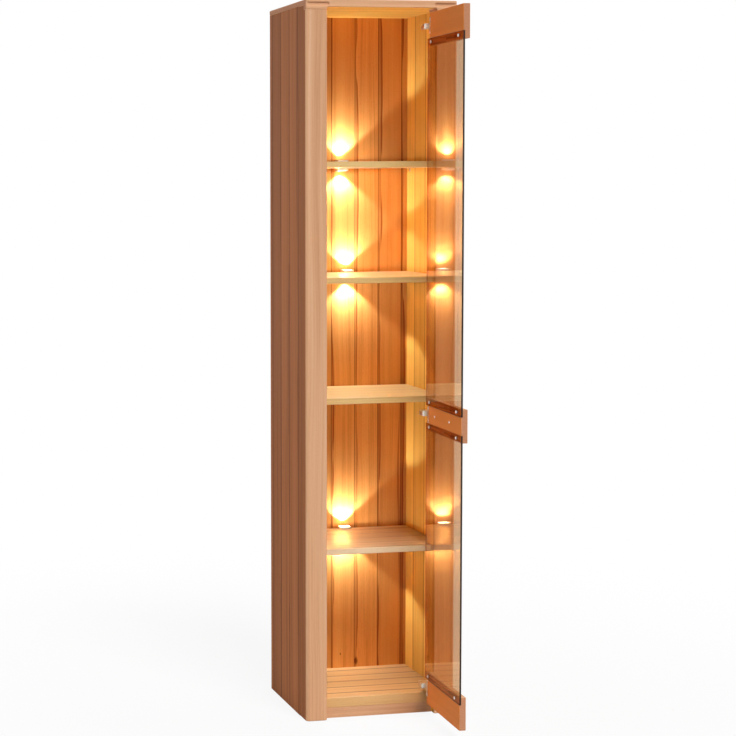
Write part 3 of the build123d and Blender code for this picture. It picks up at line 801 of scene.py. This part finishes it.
def studio_floor(half_width=14.0, drop=0.0005):
    """A wide floor, a hair under the feet of the cabinet."""
    mesh = bmesh.new()
    bmesh.ops.create_grid(mesh, x_segments=1, y_segments=1, size=half_width)
    data = bpy.data.meshes.new("floor")
    mesh.to_mesh(data)
    mesh.free()
    data.materials.append(floor_finish())
    floor = bpy.data.objects.new("floor", data)
    floor.location.z = -drop
    bpy.context.scene.collection.objects.link(floor)


def surround():
    """White to the camera, in mirrors and through the glass, and a dim even light on the pieces."""
    finish = Finish(bpy.data.worlds.new("studio"))
    seen = finish.seen_by("Is Camera Ray", "Is Glossy Ray", "Is Transmission Ray")
    ambient, plain_white = [
        finish.node("ShaderNodeBackground", None, {"Color": white, "Strength": strength}).outputs[0]
        for strength in (0.16, 1.0)
    ]
    return finish.done(finish.mix_shaders(ambient, plain_white, seen), "ShaderNodeOutputWorld")


studio_floor()
bpy.context.scene.world = surround()


# Lights
def light(name, kind, power, place=(0.0, 0.0, 0.0)):
    """A light of this kind in the scene."""
    lamp = bpy.data.objects.new(name, bpy.data.lights.new(name, kind))
    bpy.context.scene.collection.objects.link(lamp)
    lamp.data.energy = power
    lamp.location = place
    return lamp


def shine_along(lamp, direction):
    lamp.rotation_euler = direction.to_track_quat("-Z", "Y").to_euler()


def high_softbox():
    """Soft light from high up in front, which leaves the shelves' own lamps to light the inside."""
    downward = Vector((-0.12, 0.64, -0.76))
    lamp = light("high_softbox", "SUN", power=3.15)
    lamp.data.angle = radians(24.0)
    shine_along(lamp, downward)


def softbox(name, place, power, size=2.4):
    """A wide soft light that looks at the middle of the cabinet."""
    cabinet_middle = Vector((0.0, -0.2, 1.0))
    lamp = light(name, "AREA", power, place)
    lamp.data.size = size
    shine_along(lamp, cabinet_middle - Vector(place))


high_softbox()
softbox("left_softbox", (-3.6, -0.4, 1.3), 33.0)
softbox("right_softbox", (3.6, 0.9, 1.3), 64.0)
softbox("rear_softbox", (0.4, 4.0, 1.6), 70.0)

# Each lens of a clip lamp has a beam close to the back panel, and a wide spill further forward
lamp_tone = (0.84, 1.0, 1.12)
lens_radius = 0.008
lens_gap = 0.001
beam_to_rear = 0.005
beam_power = 6.9
beam_angle = radians(104.0)
beam_blend = 0.22
spill_to_front = 0.1
spill_power = 0.6
spill_angle = radians(180.0)
spill_blend = 0.02


def lamp_light(name, place, upward, power, angle, blend):
    """A spot that shines straight up or down."""
    lamp = light(name, "SPOT", power, place)
    lamp.data.color = lamp_tone
    lamp.data.spot_size = angle
    lamp.data.spot_blend = blend
    lamp.data.shadow_soft_size = lens_radius
    if upward:
        lamp.rotation_euler = (pi, 0.0, 0.0)
    return lamp


def clip_lamp_lights(number):
    """The light of one clip lamp. The spill starts in front of the lamp, so it is hidden from mirrors."""
    low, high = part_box(f"lamp_{number}_lenses")
    x, y = (low.x + high.x) / 2, (low.y + high.y) / 2
    for way, z in (("up", high.z + lens_gap), ("down", low.z - lens_gap)):
        upward = way == "up"
        beam_place = (x, y + beam_to_rear, z)
        spill_place = (x, y - spill_to_front, z)
        lamp_light(f"lamp_{number}_beam_{way}", beam_place, upward, beam_power, beam_angle, beam_blend)
        spill = lamp_light(
            f"lamp_{number}_spill_{way}", spill_place, upward, spill_power, spill_angle, spill_blend
        )
        spill.visible_glossy = False


for number in (1, 2, 3):
    clip_lamp_lights(number)

# The glass mirrors the glow of the lamps at its full strength
bpy.context.scene.cycles.sample_clamp_indirect = 0.0


def photo_camera():
    """A long lens far to the left of the cabinet, turned to the right and slightly down."""
    place = Vector((-1.718, -5.63, 1.506))
    turn = radians(11.566)
    dip = radians(5.022)
    roll = radians(-0.432)
    camera = bpy.data.objects.new("photo_camera", bpy.data.cameras.new("photo_camera"))
    bpy.context.scene.collection.objects.link(camera)
    camera.data.lens = 97.05
    camera.data.sensor_width = 36.0
    camera.data.shift_x = 0.29
    camera.data.shift_y = -0.0145
    forward = Vector((sin(turn) * cos(dip), cos(turn) * cos(dip), -sin(dip)))
    level_right = Vector((cos(turn), -sin(turn), 0.0))
    level_up = level_right.cross(forward)
    right = cos(roll) * level_right + sin(roll) * level_up
    up = -sin(roll) * level_right + cos(roll) * level_up
    camera.matrix_world = Matrix.Translation(place) @ Matrix((right, up, -forward)).transposed().to_4x4()
    return camera


bpy.context.scene.camera = photo_camera()
bpy.context.scene.view_settings.view_transform = "Standard"
